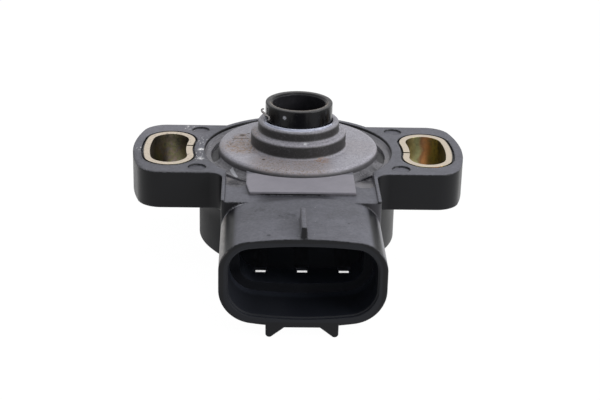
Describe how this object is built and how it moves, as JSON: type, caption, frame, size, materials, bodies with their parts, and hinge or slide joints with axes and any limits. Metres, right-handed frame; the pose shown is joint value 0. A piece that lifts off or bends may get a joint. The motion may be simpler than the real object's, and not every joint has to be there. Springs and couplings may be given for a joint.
{
  "type": "throttle position sensor",
  "caption": "Rotary throttle position sensor: round case with slotted mounting ears, stepped pilot collar, sprung tubular rotor and a shrouded blade connector.",
  "frame": {"origin": "rotor axis, in the plane of the ears that lies on the throttle body", "axes": "+Z along the rotor axis towards the throttle body; the connector points along -Y; the ears lie along X"},
  "size_m": [0.054, 0.053, 0.0235],
  "materials": {
    "black_plastic": "moulded black plastic with a soft sheen, dusty on top",
    "sleeve_steel": "rolled steel, yellow passivated, pale at the ends",
    "cover_steel": "drawn steel, matt grey with specks of brown dust",
    "black_sealant": "set sealing compound",
    "bronze": "sintered bronze",
    "seal_rubber": "black rubber",
    "rotor_plastic": "smooth black plastic, greasy",
    "washer_steel": "stamped steel",
    "spring_steel": "drawn spring wire",
    "wiper_metal": "thin spring alloy",
    "board_laminate": "brown laminate",
    "carbon_ink": "printed carbon",
    "silver_ink": "printed silver",
    "terminal_metal": "tinned strip, bright",
    "solder": "solder, slightly dull",
    "cover_plastic": "moulded black plastic"
  },
  "bodies": {
    "case": {"housing": "black_plastic", "sleeve_left": "sleeve_steel", "sleeve_right": "sleeve_steel", "front_cover": "cover_steel", "cover_sealant": "black_sealant", "bearing_bush": "bronze", "shaft_seal": "seal_rubber", "thrust_washer": "washer_steel", "return_spring": "spring_steel", "resistor_board": "board_laminate", "resistive_track": "carbon_ink", "collector_track": "silver_ink", "end_conductor_left": "silver_ink", "end_conductor_right": "silver_ink", "terminal_left": "terminal_metal", "terminal_middle": "terminal_metal", "terminal_right": "terminal_metal", "solder_left": "solder", "solder_middle": "solder", "solder_right": "solder", "rear_cover": "cover_plastic", "rear_sealant": "black_sealant"},
    "rotor": {"rotor": "rotor_plastic", "wiper": "wiper_metal"}
  },
  "joints": [
    {"name": "rotor_turn", "type": "hinge", "parent": "case", "child": "rotor", "pos_m": [0, 0, 0], "axis": [0, 0, 1], "range_deg": [0, 95], "stiffness_Nm_per_rad": 0.009, "springref_deg": -95.68, "deforming": ["return_spring"]}
  ]
}
